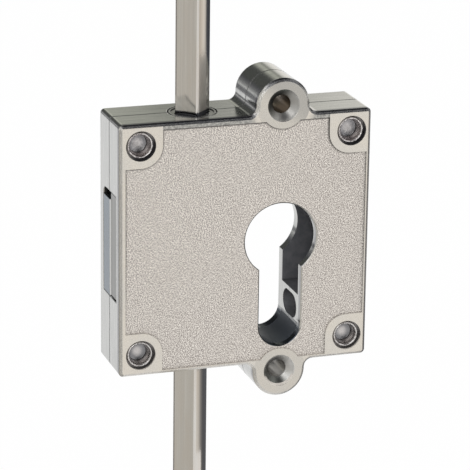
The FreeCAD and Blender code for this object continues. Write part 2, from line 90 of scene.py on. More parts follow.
# Sizes of the rod and of the upper nut, in millimetres
ROD_HALF = 3.0
CROWN_RADIUS = 12.0            # of two of the rod's faces, which are drawn a little round
FLAT_RADIUS = 45.0             # of the other two
MOUTH_RADIUS = 4.65            # of the solid nut's round mouth
MOUTH_DEPTH = 0.9
MOUTH_WIDER = 5.0              # the same mouth as it shows, wide and shallow
MOUTH_SHOWN = 0.2

# Heights of the fine relief, in metres
GRAIN_RELIEF = 0.00022
STREAK_RELIEF = 0.00004
MARK_RELIEF = 0.00003
RIVET_RELIEF = 0.00007

# Tones of the plating, and of the painted light, shade and reflections on it, most of them in
# pairs that a pattern or a place goes between
SMOOTH_TONES = (0.690, 0.640, 0.560), (0.655, 0.620, 0.560)
FIELD_TONES = (0.640, 0.590, 0.530), (0.660, 0.590, 0.560)
GRAIN_TONES = (0.330, 0.292, 0.275), (1.000, 0.950, 0.870)
SPECKLE_TONE = (0.38, 0.35, 0.33)
BORDER_REFLECTION_TONES = (0.250, 0.245, 0.230), (0.490, 0.475, 0.440)
RING_REFLECTION_TONE = (0.380, 0.370, 0.345)
STEP_SHADOW_TONE = (0.130, 0.120, 0.120)
SIDE_TONES = (0.500, 0.505, 0.495), (0.620, 0.620, 0.605)
SIDE_SHADE_LINE_TONE = (0.130, 0.125, 0.140)
EDGE_REFLECTION_TONE = (0.100, 0.105, 0.120)
SEAM_TONE = (0.120, 0.120, 0.125)
UPPER_CONE_SHADE_TONES = (0.140, 0.145, 0.135), (0.450, 0.440, 0.420)
LOWER_CONE_SHADE_TONES = (0.185, 0.190, 0.175), (0.600, 0.590, 0.570)
BORE_BROWN_AND_HIGHLIGHT_TONES = (0.330, 0.280, 0.225), (0.600, 0.590, 0.570)
WELL_LIT_TONE = (0.420, 0.400, 0.390)
WELL_SHADOW_TONES = (0.110, 0.105, 0.112), (0.180, 0.170, 0.165)
INNER_SHADE_TONES = (0.175, 0.180, 0.195), (0.235, 0.235, 0.250)
SLOT_FLOOR_SHADE_TONE = (0.070, 0.082, 0.098)
LOW_WALL_TONE = (0.600, 0.560, 0.510)
BLACK = (0.0, 0.0, 0.0)


def node_middle(name):
    """The middle of a node's box, in millimetres."""
    low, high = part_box(name)
    return (Vector(low) + Vector(high)) / 2 / MM


# Places on the case, in millimetres, from the frame
shell_low, shell_high = (Vector(corner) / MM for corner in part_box("front_shell"))
FRONT = shell_low.y
SEAM = shell_high.y
LUG_HEIGHT = shell_high.z - LUG_RADIUS
left_rivet = node_middle("case_rivet_upper_left")
right_rivet = node_middle("case_rivet_upper_right")
RIVET_MIDDLE = (left_rivet.x + right_rivet.x) / 2
RIVET_SIDE = (right_rivet.x - left_rivet.x) / 2
RIVET_HEIGHT = left_rivet.z
ROD = node_middle("rod")
NUT_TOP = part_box("upper_nut")[1][2] / MM
CASE_TOP = NUT_TOP             # the nut ends 0.15 below the case's top face
RIM_LEFT = shell_low.x + PAD_WIDTH
RIM_RIGHT = shell_high.x - PAD_WIDTH


def add_object(name, data):
    item = bpy.data.objects.new(name, data)
    scene.collection.objects.link(item)
    return item


def add_flat(name, points, faces):
    data = bpy.data.meshes.new(name)
    data.from_pydata(points, [], faces)
    return add_object(name, data)


def add_camera():
    back = Vector((-math.sin(CAMERA_AZIMUTH) * math.cos(CAMERA_ELEVATION),
                   -math.cos(CAMERA_AZIMUTH) * math.cos(CAMERA_ELEVATION),
                   math.sin(CAMERA_ELEVATION)))
    level_right = (-back).cross(Vector((0, 0, 1))).normalized()
    level_up = level_right.cross(-back)
    right = level_right * math.cos(CAMERA_ROLL) + level_up * math.sin(CAMERA_ROLL)
    up = level_up * math.cos(CAMERA_ROLL) - level_right * math.sin(CAMERA_ROLL)
    turn = Matrix((right, up, back)).transposed().to_4x4()
    data = bpy.data.cameras.new("camera")
    data.lens = CAMERA_LENS
    data.sensor_width = CAMERA_SENSOR
    data.clip_start, data.clip_end = CAMERA_CLIP
    camera = add_object("camera", data)
    camera.matrix_world = Matrix.Translation(CAMERA_AIM + back * CAMERA_DISTANCE) @ turn
    scene.camera = camera


class Graph:
    """A short way to write a node tree. Masks are values from 0 to 1."""

    def __init__(self, tree):
        self.tree = tree
        tree.nodes.clear()

    def add(self, kind, **settings):
        node = self.tree.nodes.new("ShaderNode" + kind)
        for name, value in settings.items():
            setattr(node, name, value)
        return node

    def link(self, source, target):
        """Joins a number, a colour or an output to an input."""
        if isinstance(source, (int, float)):
            target.default_value = source
        elif isinstance(source, tuple):
            target.default_value = source + (1.0,)
        else:
            self.tree.links.new(source, target)

    def end(self, shading, kind="OutputMaterial"):
        self.link(shading, self.add(kind).inputs[0])

    def math(self, operation, *inputs):
        node = self.add("Math", operation=operation)
        for value, socket in zip(inputs, node.inputs):
            self.link(value, socket)
        return node.outputs[0]

    def product(self, *inputs):
        result = inputs[0]
        for value in inputs[1:]:
            result = self.math("MULTIPLY", result, value)
        return result

    def total(self, *inputs):
        result = inputs[0]
        for value in inputs[1:]:
            result = self.math("ADD", result, value)
        return result

    def less(self, value, amount):
        return self.math("SUBTRACT", value, amount)

    def rest(self, mask):
        """1 where the mask is 0, and the other way round."""
        return self.math("SUBTRACT", 1.0, mask)

    def size(self, value):
        return self.math("ABSOLUTE", value)

    def sign(self, value):
        return self.math("SIGN", value)

    def length(self, first, second):
        squares = self.total(self.product(first, first), self.product(second, second))
        return self.math("SQRT", squares)

    def most(self, first, second):
        return self.math("MAXIMUM", first, second)

    def mix(self, factor, first, second, blend="MIX"):
        node = self.add("Mix", data_type="RGBA", blend_type=blend)
        self.link(factor, node.inputs[0])
        self.link(first, node.inputs[6])
        self.link(second, node.inputs[7])
        return node.outputs[2]

    def between(self, value, low, high):
        """A smooth step of value from 0 at low to 1 at high."""
        node = self.add("MapRange", interpolation_type="SMOOTHSTEP")
        self.link(value, node.inputs["Value"])
        node.inputs["From Min"].default_value = low
        node.inputs["From Max"].default_value = high
        return node.outputs[0]

    def between_mm(self, value, low, high):
        """The same step, with both ends in millimetres."""
        return self.between(value, low * MM, high * MM)

    def under(self, value, limit):
        """1 where value is under a limit in millimetres, and 0 elsewhere."""
        return self.math("LESS_THAN", value, limit * MM)

    def over(self, value, limit):
        """1 where value is over a limit in millimetres, and 0 elsewhere."""
        return self.math("GREATER_THAN", value, limit * MM)

    def inside(self, value, low, high):
        """1 where value lies between low and high, in millimetres, and 0 elsewhere."""
        return self.product(self.over(value, low), self.under(value, high))

    def stretch(self, vector, scale):
        node = self.add("Mapping")
        self.link(vector, node.inputs["Vector"])
        node.inputs["Scale"].default_value = scale
        return node.outputs[0]

    def noise(self, vector, scale, detail, roughness):
        node = self.add("TexNoise")
        self.link(vector, node.inputs["Vector"])
        node.inputs["Scale"].default_value = scale
        node.inputs["Detail"].default_value = detail
        node.inputs["Roughness"].default_value = roughness
        return node.outputs["Fac"]

    def bump(self, height, strength, distance, normal=None):
        node = self.add("Bump")
        self.link(strength, node.inputs["Strength"])
        node.inputs["Distance"].default_value = distance
        self.link(height, node.inputs["Height"])
        if normal is not None:
            self.link(normal, node.inputs["Normal"])
        return node.outputs[0]

    def rounded(self, radius):
        """Normals as if the edges were rounded off."""
        node = self.add("Bevel", samples=6)
        self.link(radius, node.inputs["Radius"])
        return node.outputs[0]

    def shade_creases(self, distance, depth, darkest=0.28):
        """Painted shade: 1 in the open, and darker with depth, a value or a socket, in corners
        and grooves.
        """
        node = self.add("AmbientOcclusion", samples=6)
        node.inputs["Distance"].default_value = distance
        shut = self.rest(node.outputs["AO"])
        return self.most(darkest, self.rest(self.product(shut, depth)))

    def shaded(self, colour, amount):
        """The colour times a grey amount."""
        grey = self.add("CombineColor")
        for socket in grey.inputs:
            self.link(amount, socket)
        return self.mix(1.0, colour, grey.outputs[0], "MULTIPLY")

    def axes(self, vector):
        node = self.add("SeparateXYZ")
        self.link(vector, node.inputs[0])
        return node.outputs

    def face_axes(self):
        """The direction of the face itself, without any smoothing."""
        return self.axes(self.add("NewGeometry").outputs["True Normal"])

    def ramp(self, value, stops):
        node = self.add("ValToRGB")
        self.link(value, node.inputs[0])
        elements = node.color_ramp.elements
        while len(elements) < len(stops):
            elements.new(0.5)
        for element, (position, colour) in zip(elements, stops):
            element.position = position
            element.color = colour + (1.0,)
        return node.outputs[0]

    def glow(self, colour):
        node = self.add("Emission")
        self.link(colour, node.inputs[0])
        node.inputs[1].default_value = 1.0
        return node.outputs[0]

    def seen(self):
        """1 for what the camera sees, straight, by a mirror or through glass, else 0."""
        path = self.add("LightPath").outputs
        return self.most(path["Is Camera Ray"],
                         self.most(path["Is Glossy Ray"], path["Is Transmission Ray"]))


def new_material(name):
    material = bpy.data.materials.new(name)
    material.use_nodes = True
    return material, Graph(material.node_tree)


def new_metal(name):
    material, graph = new_material(name)
    shader = graph.add("BsdfPrincipled")
    graph.end(shader.outputs[0])
    coords = graph.add("TexCoord").outputs["Object"]
    shader.inputs["Metallic"].default_value = 1.0
    return material, graph, shader, coords


def from_rivet(g, x, z):
    """How far a point lies from the middle of the nearest case rivet.

    Across and along grow away from the middle of the case. Reach is the straight distance.
    """
    across = g.less(g.size(g.less(x, RIVET_MIDDLE * MM)), RIVET_SIDE * MM)
    along = g.less(g.size(z), RIVET_HEIGHT * MM)
    return across, along, g.length(across, along)


def to_the_right(g, x, across):
    """The same distance across, growing to the right at every rivet."""
    return g.product(across, g.sign(g.less(x, RIVET_MIDDLE * MM)))


class CasePlaces:
    """Masks of the places on the case that look different, and what they are made from."""

    def __init__(self, g, coords):
        self.x, self.y, self.z = x, y, z = g.axes(coords)
        nx, self.ny, self.nz = g.face_axes()
        height = g.size(z)
        self.lower = g.under(z, 0.0)
        self.facing = g.between(self.ny, -0.5, -0.9)
        self.field = g.product(self.facing, g.inside(y, *FIELD_Y))
        self.on_top = g.between(g.size(self.nz), 0.8, 0.95)
        self.on_left = g.between(nx, -0.80, -0.95)

        # Round places: the rivets' wells, and the lugs' countersinks and holes
        self.across, self.along, reach = from_rivet(g, x, z)
        self.in_well = g.product(g.under(reach, WELL_RADIUS), g.over(y, FRONT + FACE))
        self.well = g.product(self.in_well, g.under(y, WELL_END))
        self.lug_rise = g.less(height, LUG_HEIGHT * MM)
        self.from_lug = g.length(x, self.lug_rise)
        self.sink = g.product(g.under(self.from_lug, SINK_RADIUS),
                              g.inside(y, FRONT + FACE, -0.1))
        self.bore = g.product(self.sink, g.over(y, BORE_START))

        # The inside but for the steep walls of the slot's round end, and the floor of that end
        hollow = g.product(g.inside(y, *HOLLOW_Y), g.inside(x, *HOLLOW_X),
                           g.under(height, HOLLOW_HEIGHT))
        slot_end = g.product(g.under(g.size(x), SLOT_HALF), g.inside(z, *SLOT_END_Z))
        upward = g.between(self.nz, 0.06, 0.3)
        steep_walls = g.product(slot_end, g.rest(upward))
        self.dark = g.product(hollow, g.rest(steep_walls))
        self.slot_floor = g.product(slot_end, upward)

        # The low walls round the field's lower half, where they look upwards
        self.low_wall = g.product(g.between(self.nz, 0.15, 0.35),
                                  g.inside(y, FRONT + 0.01, FRONT + 0.45), self.lower)

        # The case's outer edge
        self.at_left = g.under(x, shell_low.x + EDGE_WIDTH)
        at_right = g.over(x, shell_high.x - EDGE_WIDTH)
        at_end = g.over(height, CASE_TOP - EDGE_WIDTH)
        self.outline = g.most(self.at_left, g.most(at_right, at_end))


def front_tones(g, coords, at, grain):
    """Blotchy casts of warm nickel, a grained field, and painted darker reflections and a painted
    shadow line round it.
    """
    blotch = g.between(g.noise(coords, 110.0, 3.0, 0.6), 0.35, 0.65)
    patchy = g.between(g.noise(coords, 520.0, 3.0, 0.6), 0.32, 0.68)
    speckle = g.between(g.noise(coords, 5600.0, 1.0, 0.5), 0.38, 0.56)
    grained = g.mix(g.between(grain, 0.36, 0.64), *GRAIN_TONES)
    grained = g.mix(speckle, g.mix(0.32, grained, SPECKLE_TONE), grained)
    smooth = g.mix(0.12, g.mix(blotch, *SMOOTH_TONES), grained)
    front = g.mix(at.field, smooth, g.mix(0.95, g.mix(patchy, *FIELD_TONES), grained))

    # The border above the field carries a painted darker reflection, but not on the upper lug's
    # ring
    raised = g.rest(at.field)
    field_top = CASE_TOP - BORDER_TOP
    border_reflection = g.mix(g.between(g.noise(coords, 1500.0, 3.0, 0.65), 0.35, 0.65), *BORDER_REFLECTION_TONES)
    above = g.product(raised, g.inside(at.z, field_top - 0.05, CASE_TOP),
                      g.inside(at.x, RIM_LEFT, RIM_RIGHT), g.between_mm(at.from_lug, 6.6, 8.6))
    front = g.mix(above, front, border_reflection)

    # The lugs' rings carry a painted grey reflection, the lower one less so, and the upper one
    # less at its lower left, which is painted as lit
    lit_ring_side = g.product(g.rest(at.lower), g.between_mm(g.total(at.x, at.lug_rise), 3.5, -4.0))
    grey = g.total(0.78, g.product(at.lower, -0.5), g.product(lit_ring_side, -0.5))
    front = g.mix(g.product(raised, g.under(at.from_lug, LUG_RADIUS), grey), front, RING_REFLECTION_TONE)

    # A painted shadow line where the field steps down from that border
    step = g.product(at.field, g.inside(at.z, field_top - 0.35, field_top), 0.50)
    return g.mix(step, front, STEP_SHADOW_TONE)


def side_tones(g, at, marks):
    """A cooler nickel, drawn along each side, with painted shade on the left one and a painted
    shade line down it.
    """
    side = g.mix(g.between(marks, 0.3, 0.7), *SIDE_TONES)
    # Painted shade: the left side is a little darker, and a painted shade line runs down it
    side = g.mix(g.product(at.on_left, 0.10), side, BLACK)
    line = g.product(at.on_left, g.inside(at.y, FRONT + 0.6, FRONT + 1.9), 0.55)
    return g.mix(line, side, SIDE_SHADE_LINE_TONE)


def edge_tones(g, at, colour):
    """Painted dark reflections on the chamfer on top and on the right and along the front edge
    of the top face, painted light on that face's left end, and the seam."""
    slanted = g.product(g.between(at.ny, -0.6, -0.66), g.between(at.ny, -0.8, -0.74))
    at_right = g.over(at.x, shell_high.x - CHAMFER_WIDTH)
    # A painted dark reflection on the chamfer on top and on the right
    chamfer = g.product(slanted, g.most(at_right, g.between(at.nz, 0.35, 0.6)), 0.76)
    colour = g.mix(chamfer, colour, EDGE_REFLECTION_TONE)
    # Painted light: the top face is brighter towards its left end
    lit_left_end = g.product(at.on_top, g.between_mm(at.x, -22.0, -32.0), 0.24)
    colour = g.shaded(colour, g.total(1.0, lit_left_end))
    # A painted dark reflection along the front edge of the top face
    top_edge_reflection = g.product(at.on_top, g.inside(at.y, FRONT + 0.6, FRONT + 1.6),
                         g.inside(at.z, CASE_TOP - 0.4, CASE_TOP + 0.4), 0.72)
    colour = g.mix(top_edge_reflection, colour, EDGE_REFLECTION_TONE)
    seam = g.product(g.inside(at.y, SEAM - 0.14, SEAM + 0.14), 0.75)
    top_seam = g.product(at.on_top, g.inside(at.y, SEAM - 0.24, SEAM + 0.24), 0.8)
    return g.mix(g.most(seam, top_seam), colour, SEAM_TONE)


def hole_tones(g, at, colour):
    """The countersinks are turned, with painted light and shade across them; the upper hole is
    brown inside, and the lower one has a painted highlight. The wells are dull, with painted
    light and shade.
    """
    # Painted light and shade across the countersinks, lighter on one side
    lug_z = g.product(at.lug_rise, g.sign(at.z))
    upper_shade = g.between_mm(g.less(lug_z, at.x), 3.4, -1.0)
    lower_shade = g.between_mm(g.total(lug_z, g.product(at.x, 0.6)), -3.0, 0.5)
    shaded_cone = g.mix(at.lower, g.mix(upper_shade, *UPPER_CONE_SHADE_TONES),
                 g.mix(lower_shade, *LOWER_CONE_SHADE_TONES))
    colour = g.mix(at.sink, colour, shaded_cone)
    # The upper hole is brown inside; the lower hole gets a painted highlight
    colour = g.mix(at.bore, colour, g.mix(at.lower, *BORE_BROWN_AND_HIGHLIGHT_TONES))
    # Painted light on the upper left of each rivet's well, and painted shade on its lower right
    right = to_the_right(g, at.x, at.across)
    up = g.product(at.along, g.sign(at.z))
    well_shadow_side = g.between_mm(g.less(g.product(right, 0.6), g.product(up, 0.8)), 0.2, 2.4)
    shadow = g.mix(at.lower, *WELL_SHADOW_TONES)
    return g.mix(at.well, colour, g.mix(well_shadow_side, WELL_LIT_TONE, shadow))


def inner_shade_tones(g, coords, at, colour):
    """The inside of the case, and the round end of the slot, are unpolished, and dark with
    painted shade.
    """
    inner_shade = g.mix(g.between(g.noise(coords, 600.0, 4.0, 0.6), 0.3, 0.7), *INNER_SHADE_TONES)
    return g.mix(at.slot_floor, g.mix(at.dark, colour, inner_shade), SLOT_FLOOR_SHADE_TONE)


def plated_case():
    """Nickel plate: grained field, smooth borders, bright streaked sides, painted shade inside.
    """
    material, g, shader, coords = new_metal("nickel_case")
    at = CasePlaces(g, coords)
    streaks = g.noise(g.stretch(coords, (1.0, 1.0, 0.05)), 2600.0, 3.0, 0.6)
    top_streaks = g.noise(g.stretch(coords, (0.05, 1.0, 1.0)), 2600.0, 3.0, 0.6)
    marks = g.total(g.product(streaks, g.rest(at.on_top)), g.product(top_streaks, at.on_top))
    grain = g.noise(coords, 4200.0, 1.5, 0.6)
    colour = g.mix(at.facing, side_tones(g, at, marks), front_tones(g, coords, at, grain))
    colour = edge_tones(g, at, colour)
    colour = hole_tones(g, at, colour)
    colour = inner_shade_tones(g, coords, at, colour)

    # Painted shade in the corners: more of it higher up and on the field, less at the right
    crease_shade_depth = g.total(0.17, g.product(g.between_mm(at.z, -26.0, 8.0), 1.60))
    crease_shade_depth = g.product(crease_shade_depth, g.total(1.0, g.product(at.field, 0.6)),
                     g.total(1.0, g.product(g.between_mm(at.x, 17.0, 19.5), -0.7)))
    crease_shaded = g.most(g.shade_creases(0.55 * MM, crease_shade_depth), g.product(at.in_well, 0.8))
    colour = g.mix(at.low_wall, g.shaded(colour, crease_shaded), LOW_WALL_TONE)
    g.link(colour, shader.inputs["Base Color"])

    rough = g.total(0.14, g.product(at.facing, 0.10), g.product(at.field, 0.14),
                    g.product(g.noise(coords, 700.0, 3.0, 0.6), 0.07),
                    g.product(at.dark, 0.30), g.product(at.sink, 0.12), g.product(at.well, 0.2))
    g.link(rough, shader.inputs["Roughness"])
    dull = g.total(g.product(at.dark, 0.5), g.product(at.low_wall, 0.8),
                   g.product(at.well, g.total(0.3, g.product(at.lower, 0.2))))
    g.link(g.rest(dull), shader.inputs["Metallic"])

    edge = g.total(0.05 * MM, g.product(at.outline, 0.21 * MM), g.product(at.at_left, 0.20 * MM))
    bumped = g.bump(grain, at.field, GRAIN_RELIEF, g.rounded(edge))
    bumped = g.bump(marks, g.product(g.rest(at.facing), 0.10), STREAK_RELIEF, bumped)
    g.link(bumped, shader.inputs["Normal"])
    return material


def turned_metal(name, colour, light, rough, scale=900.0, stretch=(1.0, 1.0, 1.0), edge=0.0,
                 crease_shade=0.6, bevel_highlight=None):
    """Metal with fine marks, which run along the axis that is stretched.

    The last argument is the colour of a painted highlight on a bevel between a front and a left
    face.
    """
    material, g, shader, coords = new_metal(name)
    marks = g.noise(g.stretch(coords, stretch), scale, 4.0, 0.65)
    cloud = g.noise(coords, scale * 0.12, 3.0, 0.6)
    toned = g.mix(g.between(marks, 0.3, 0.7), colour, light)
    shade = g.mix(g.between(cloud, 0.35, 0.7), toned, tuple(value * 0.86 for value in light))
    # Painted shade in the creases
    shade = g.shaded(shade, g.shade_creases(0.6 * MM, crease_shade))
    # A painted highlight on the bevel between a front and a left face
    if bevel_highlight:
        nx, ny, _ = g.face_axes()
        bevel = g.product(g.between(nx, -0.5, -0.65), g.between(ny, -0.5, -0.65))
        shade = g.mix(bevel, shade, bevel_highlight)
    g.link(shade, shader.inputs["Base Color"])
    g.link(g.total(rough, g.product(marks, 0.10)), shader.inputs["Roughness"])
    soft = g.rounded(edge * MM) if edge else None
    g.link(g.bump(marks, 0.25, MARK_RELIEF, soft), shader.inputs["Normal"])
    return material


def drawn_bar():
    """Bright drawn square bar: a mirror with faint lines along it, faces a little crowned, and
    painted shade just above the upper nut.
    """
    material, g, shader, coords = new_metal("drawn_bar")
    x, y, z = g.axes(coords)
    lines = g.noise(g.stretch(coords, (1.0, 1.0, 0.006)), 2600.0, 4.0, 0.65)
    cloud = g.noise(g.stretch(coords, (1.0, 1.0, 0.15)), 260.0, 3.0, 0.6)
    toned = g.mix(g.between(lines, 0.3, 0.7), (0.600, 0.575, 0.535), (0.690, 0.665, 0.625))
    toned = g.mix(g.between(cloud, 0.35, 0.7), toned, (0.630, 0.585, 0.530))
    upper = g.over(z, 0.0)
    # Painted shade on the bar just above the upper nut
    rod_foot_shade = g.product(g.between_mm(z, NUT_TOP + 0.80, NUT_TOP + 0.50), upper)
    g.link(g.mix(rod_foot_shade, toned, (0.110, 0.110, 0.125)), shader.inputs["Base Color"])

    # The bar stands at 45 degrees. Sideways is measured along its front right and back left
    # faces, which are the first ones
    dx = g.less(x, ROD.x * MM)
    dy = g.less(y, ROD.y * MM)
    sideways = g.product(g.total(dx, dy), math.sqrt(0.5))
    first = g.size(sideways)
    second = g.size(g.product(g.less(dx, dy), math.sqrt(0.5)))
    on_first = g.math("LESS_THAN", first, second)

    def crown(reach, mask, radius):
        """How far a crowned face stands out, for a reach from its middle."""
        fall = g.less((ROD_HALF * MM) ** 2, g.product(reach, reach))
        return g.product(fall, mask, 0.5 / (radius * MM))

    scuffed = g.product(on_first, g.between_mm(z, 49.0, 39.0), upper,
                        g.between_mm(sideways, 1.3, 0.8))
    g.link(g.total(0.08, g.product(lines, 0.05), g.product(scuffed, 0.28)),
           shader.inputs["Roughness"])
    crowned = g.total(crown(first, on_first, CROWN_RADIUS),
                      crown(second, g.rest(on_first), FLAT_RADIUS))
    soft = g.bump(crowned, 1.0, 1.0, g.rounded(0.22 * MM))
    g.link(g.bump(lines, 0.10, MARK_RELIEF, soft), shader.inputs["Normal"])
    return material


def add_floor():
    """A pale floor that reads white, and still takes the object's shadow."""
    size = 6.0
    level = cad_box[0].z
    corners = [(-size, -size, level), (size, -size, level), (size, size, level),
               (-size, size, level)]
    floor = add_flat("floor", corners, [(0, 1, 2, 3)])
    material, g = new_material("floor")
    paint = g.add("BsdfDiffuse")
    g.link((0.86, 0.86, 0.86), paint.inputs[0])
    blend = g.add("MixShader")
    g.link(g.product(g.seen(), 0.985), blend.inputs[0])
    g.link(paint.outputs[0], blend.inputs[1])
    g.link(g.glow((1.0, 1.0, 1.0)), blend.inputs[2])
    g.end(blend.outputs[0])
    floor.data.materials.append(material)


def add_card(name, near, far, tones):
    """A card flat on the floor round the rod, which only the object's reflections see.

    The tones are pairs of an angle, which turns from +Y to +X, and a colour. Near and far
    are its distances from the rod, in metres.
    """
    steps = 24
    start, end = tones[0][0], tones[-1][0]
    level = cad_box[0].z + 0.5 * MM
    points = []
    for radius in (near, far):
        for step in range(steps + 1):
            angle = math.radians(start + (end - start) * step / steps)
            points.append((radius * math.sin(angle), radius * math.cos(angle), 0.0))
    row = steps + 1
    card = add_flat(name, points,
                    [(step, step + 1, row + step + 1, row + step) for step in range(steps)])
    card.location = (ROD.x * MM, ROD.y * MM, level)
    card.visible_camera = False
    card.visible_diffuse = False
    card.visible_transmission = False
    card.visible_shadow = False
    material, g = new_material(name)
    x, y, _ = g.axes(g.add("TexCoord").outputs["Object"])
    turn = g.product(g.math("ARCTAN2", x, y), math.degrees(1.0))
    share = g.math("DIVIDE", g.less(turn, start), end - start)
    stops = [((angle - start) / (end - start), tone) for angle, tone in tones]
    g.end(g.glow(g.ramp(share, stops)))
    card.data.materials.append(material)


def add_world():
    """A studio that mirrors as dark above the floor, with a pale panel behind on the right,
    a long pale strip overhead, from the left over to the right, and grey high up behind."""
    world = bpy.data.worlds.new("studio")
    scene.world = world
    world.use_nodes = True
    g = Graph(world.node_tree)
    x, y, z = g.axes(g.add("TexCoord").outputs["Generated"])
    turn = g.total(g.math("DIVIDE", g.math("ARCTAN2", x, y), math.tau), 0.5)

    def at(degrees):
        return 0.5 + degrees / 360.0

    panel = g.ramp(turn, [
        (at(-140), (0.68, 0.68, 0.66)), (at(-82), (0.68, 0.68, 0.66)),
        (at(-62), (0.05, 0.05, 0.06)), (at(2), (0.10, 0.105, 0.09)),
        (at(10), (0.650, 0.655, 0.570)), (at(14), (0.560, 0.565, 0.490)),
        (at(17), (0.260, 0.265, 0.233)), (at(19.5), (0.66, 0.655, 0.60)),
        (at(22), (0.98, 0.95, 0.89)), (at(36), (0.98, 0.96, 0.92)),
        (at(48), (0.40, 0.40, 0.40)), (at(60), (0.08, 0.08, 0.09))])
    overhead = g.ramp(z, [
        (0.0, (0.90, 0.90, 0.89)), (0.03, (0.50, 0.50, 0.49)), (0.10, (0.24, 0.24, 0.245)),
        (0.22, (0.075, 0.075, 0.085)), (0.60, (0.035, 0.037, 0.045)), (1.0, (0.03, 0.03, 0.04))])
    shade = g.mix(g.between(z, 0.45, 0.37), overhead, g.mix(1.0, overhead, panel, "LIGHTEN"))
    left_strip = g.product(g.between(x, 0.10, -0.05), g.between(z, 0.08, 0.20))
    right_strip = g.product(g.between(x, 0.45, 0.58), g.between(z, 0.42, 0.55))
    strip = g.product(g.between(y, -0.20, -0.06), g.between(y, 0.62, 0.48),
                      g.total(left_strip, right_strip))
    shade = g.mix(strip, shade, (0.92, 0.92, 0.90))
    behind = g.product(g.between(y, 0.20, 0.34), g.between(z, 0.50, 0.62))
    shade = g.mix(behind, shade, (0.36, 0.36, 0.35))
    back = g.add("Background")
    g.link(g.mix(g.seen(), (0.62, 0.62, 0.62), shade), back.inputs[0])
    back.inputs[1].default_value = 1.0
    g.end(back.outputs[0], "OutputWorld")


def add_softbox(name, place, power):
    """A square lamp that looks at the frame's origin."""
    data = bpy.data.lights.new(name, "AREA")
    data.shape = "RECTANGLE"
    data.size = data.size_y = 1.5
    data.energy = power
    lamp = add_object(name, data)
    lamp.location = place
    lamp.rotation_mode = "QUATERNION"
    lamp.rotation_quaternion = (-Vector(place)).to_track_quat("-Z", "Y")


def faced_nut(material):
    """The upper nut with a shallow mouth, round the square hole that the rod stands in."""
    data = nodes["upper_nut"].data.copy()
    data.name = "faced_upper_nut"
    upper_part = NUT_TOP - 2.0
    for vertex in data.vertices:
        place = vertex.co / MM
        reach = math.hypot(place.x - ROD.x, place.y - ROD.y)
        if abs(place.z - (NUT_TOP - MOUTH_DEPTH)) < 0.01:
            vertex.co.z = (NUT_TOP - MOUTH_SHOWN) * MM
        if abs(reach - MOUTH_RADIUS) < 0.05 and place.z > upper_part:
            share = MOUTH_WIDER / reach
            vertex.co.x = (ROD.x + (place.x - ROD.x) * share) * MM
            vertex.co.y = (ROD.y + (place.y - ROD.y) * share) * MM
    data.materials.clear()
    data.materials.append(material)
    piece = add_object("faced_upper_nut", data)
    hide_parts("upper_nut")
    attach(piece, "turning_rod")


def set_material(node_name, material):
    part = nodes[node_name]
    if part.material_slots:
        for slot in part.material_slots:
            slot.material = material
    else:
        part.data.materials.append(material)


# A rolled rivet's outline from the cup's floor, over the lip, to the flush end: radius, and depth
# behind the front face. The share says how far the rolling's unevenness moves each point.
RIVET_OUTLINE = [
    (0.0, 3.42, 0.0), (0.55, 3.38, 0.0), (1.2, 3.30, 0.0), (1.75, 3.24, 0.0), (2.02, 3.12, 0.0),
    (2.10, 2.80, 0.0), (2.14, 2.30, 0.2), (2.22, 1.75, 0.5), (2.32, 1.35, 0.8), (2.43, 1.02, 0.9),
    (2.53, 0.80, 1.0), (2.63, 0.67, 1.0), (2.74, 0.62, 1.0), (2.88, 0.66, 1.0), (2.99, 0.78, 1.0),
    (3.06, 0.95, 0.8), (3.08, 1.14, 0.6), (3.02, 1.32, 0.3), (2.88, 1.46, 0.1), (2.70, 1.53, 0.0),
    (2.60, 1.56, 0.0), (2.60, 8.0, 0.0), (2.60, 15.85, 0.0), (2.45, 16.0, 0.0), (0.0, 16.0, 0.0)]
RIVET_STEPS = 96
RIVET_WAVES = (1, 2, 3, 5, 8, 13, 19, 27)      # waves of the lip in a full turn
WAVE_SPREAD, JAG_SPREAD = 0.055, 0.020         # how far waves and jags move it outwards
WAVE_SINK, JAG_SINK = 0.075, 0.035             # and in depth
RIVET_SEED = 11
RIVET_PLACES = {"upper_left": (-1, 1), "upper_right": (1, 1),
                "lower_left": (-1, -1), "lower_right": (1, -1)}


def rolled_rivet(node_name, x, z, seed, material):
    """A hollow rivet turned from the outline, its lip uneven from the rolling."""
    draw = random.Random(seed)
    waves = [(count, draw.uniform(0.35, 1.0) / (1.0 + 0.12 * count), draw.uniform(0.0, math.tau))
             for count in RIVET_WAVES]
    mesh = bmesh.new()
    rings = []
    for radius, depth, share in RIVET_OUTLINE:
        if radius == 0.0:
            rings.append([mesh.verts.new(Vector((x, FRONT + depth, z)) * MM)])
            continue
        ring = []
        for step in range(RIVET_STEPS):
            angle = math.tau * step / RIVET_STEPS
            wave = sum(size * math.sin(count * angle + phase)
                       for count, size, phase in waves) / 4.0
            jag = draw.uniform(-1.0, 1.0)
            spread = radius + share * (WAVE_SPREAD * wave + JAG_SPREAD * jag)
            sunk = depth + share * (WAVE_SINK * wave + JAG_SINK * jag)
            ring.append(mesh.verts.new(Vector((x + spread * math.cos(angle), FRONT + sunk,
                                               z + spread * math.sin(angle))) * MM))
        rings.append(ring)
    for first, second in zip(rings, rings[1:]):
        for step in range(RIVET_STEPS):
            following = (step + 1) % RIVET_STEPS
            corners = (first[step % len(first)], second[step % len(second)],
                       second[following % len(second)], first[following % len(first)])
            mesh.faces.new(tuple(dict.fromkeys(corners)))
    bmesh.ops.recalc_face_normals(mesh, faces=mesh.faces)
    data = bpy.data.meshes.new("rolled_" + node_name)
    mesh.to_mesh(data)
    mesh.free()
    for polygon in data.polygons:
        polygon.use_smooth = True
    data.set_sharp_from_angle(angle=math.radians(40.0))
    data.materials.append(material)
    piece = add_object("rolled_" + node_name, data)
    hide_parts(node_name)
    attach(piece, "case")


